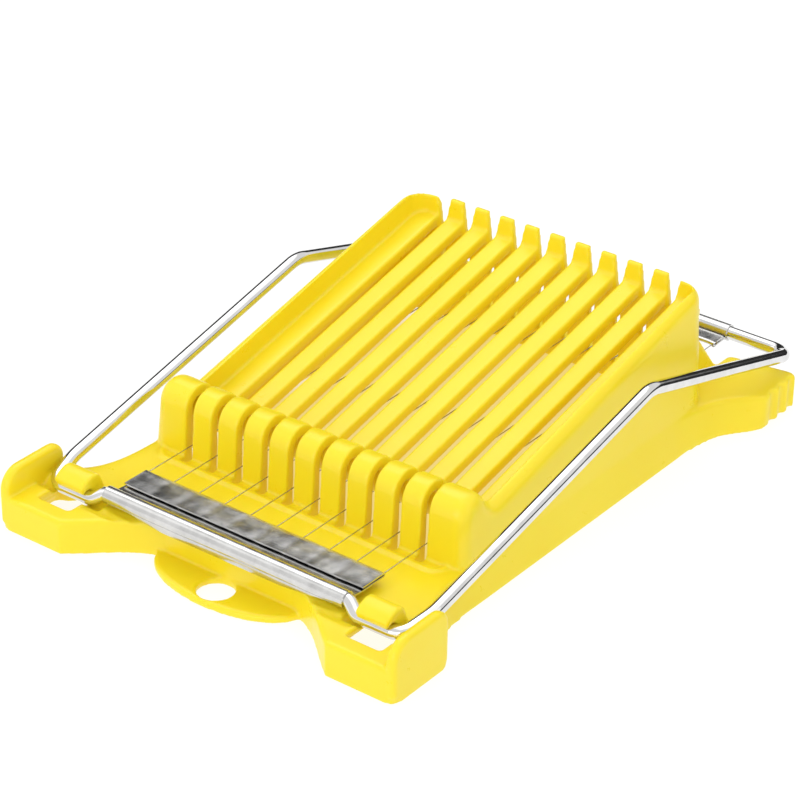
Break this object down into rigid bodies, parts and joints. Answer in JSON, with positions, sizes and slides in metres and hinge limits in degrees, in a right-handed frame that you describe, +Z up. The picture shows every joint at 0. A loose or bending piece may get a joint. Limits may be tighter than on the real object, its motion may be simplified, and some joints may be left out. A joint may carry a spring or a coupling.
{
  "type": "wire food slicer",
  "caption": "Hand wire slicer for eggs or luncheon meat: slotted sloping plastic bed with a hinged steel rod frame of parallel cutting wires.",
  "frame": {"origin": "on the table plane, at the middle of the overall width and length", "axes": "+Y from the hinge end towards the toothed end, +Z up, +X to the right seen from the hinge end"},
  "size_m": [0.135, 0.199, 0.0456],
  "materials": {
    "yellow_plastic": "gloss, lightly rippled moulding",
    "plated_steel": "bright plated rod",
    "sheet_steel": "bright rolled sheet with crimp marks",
    "wire_steel": "bright drawn wire"
  },
  "bodies": {
    "base_body": {"base": "yellow_plastic"},
    "wire_frame": {"frame_rod": "plated_steel", "front_wire_clamp": "sheet_steel", "rear_wire_clamp": "sheet_steel", "cutting_wire_01": "wire_steel", "cutting_wire_02": "wire_steel", "cutting_wire_03": "wire_steel", "cutting_wire_04": "wire_steel", "cutting_wire_05": "wire_steel", "cutting_wire_06": "wire_steel", "cutting_wire_07": "wire_steel", "cutting_wire_08": "wire_steel", "cutting_wire_09": "wire_steel", "cutting_wire_10": "wire_steel"}
  },
  "joints": [
    {"name": "frame_hinge", "type": "hinge", "parent": "base_body", "child": "wire_frame", "pos_m": [0, -0.0863, 0.0112], "axis": [1, 0, 0], "range_deg": [0, 95]}
  ]
}
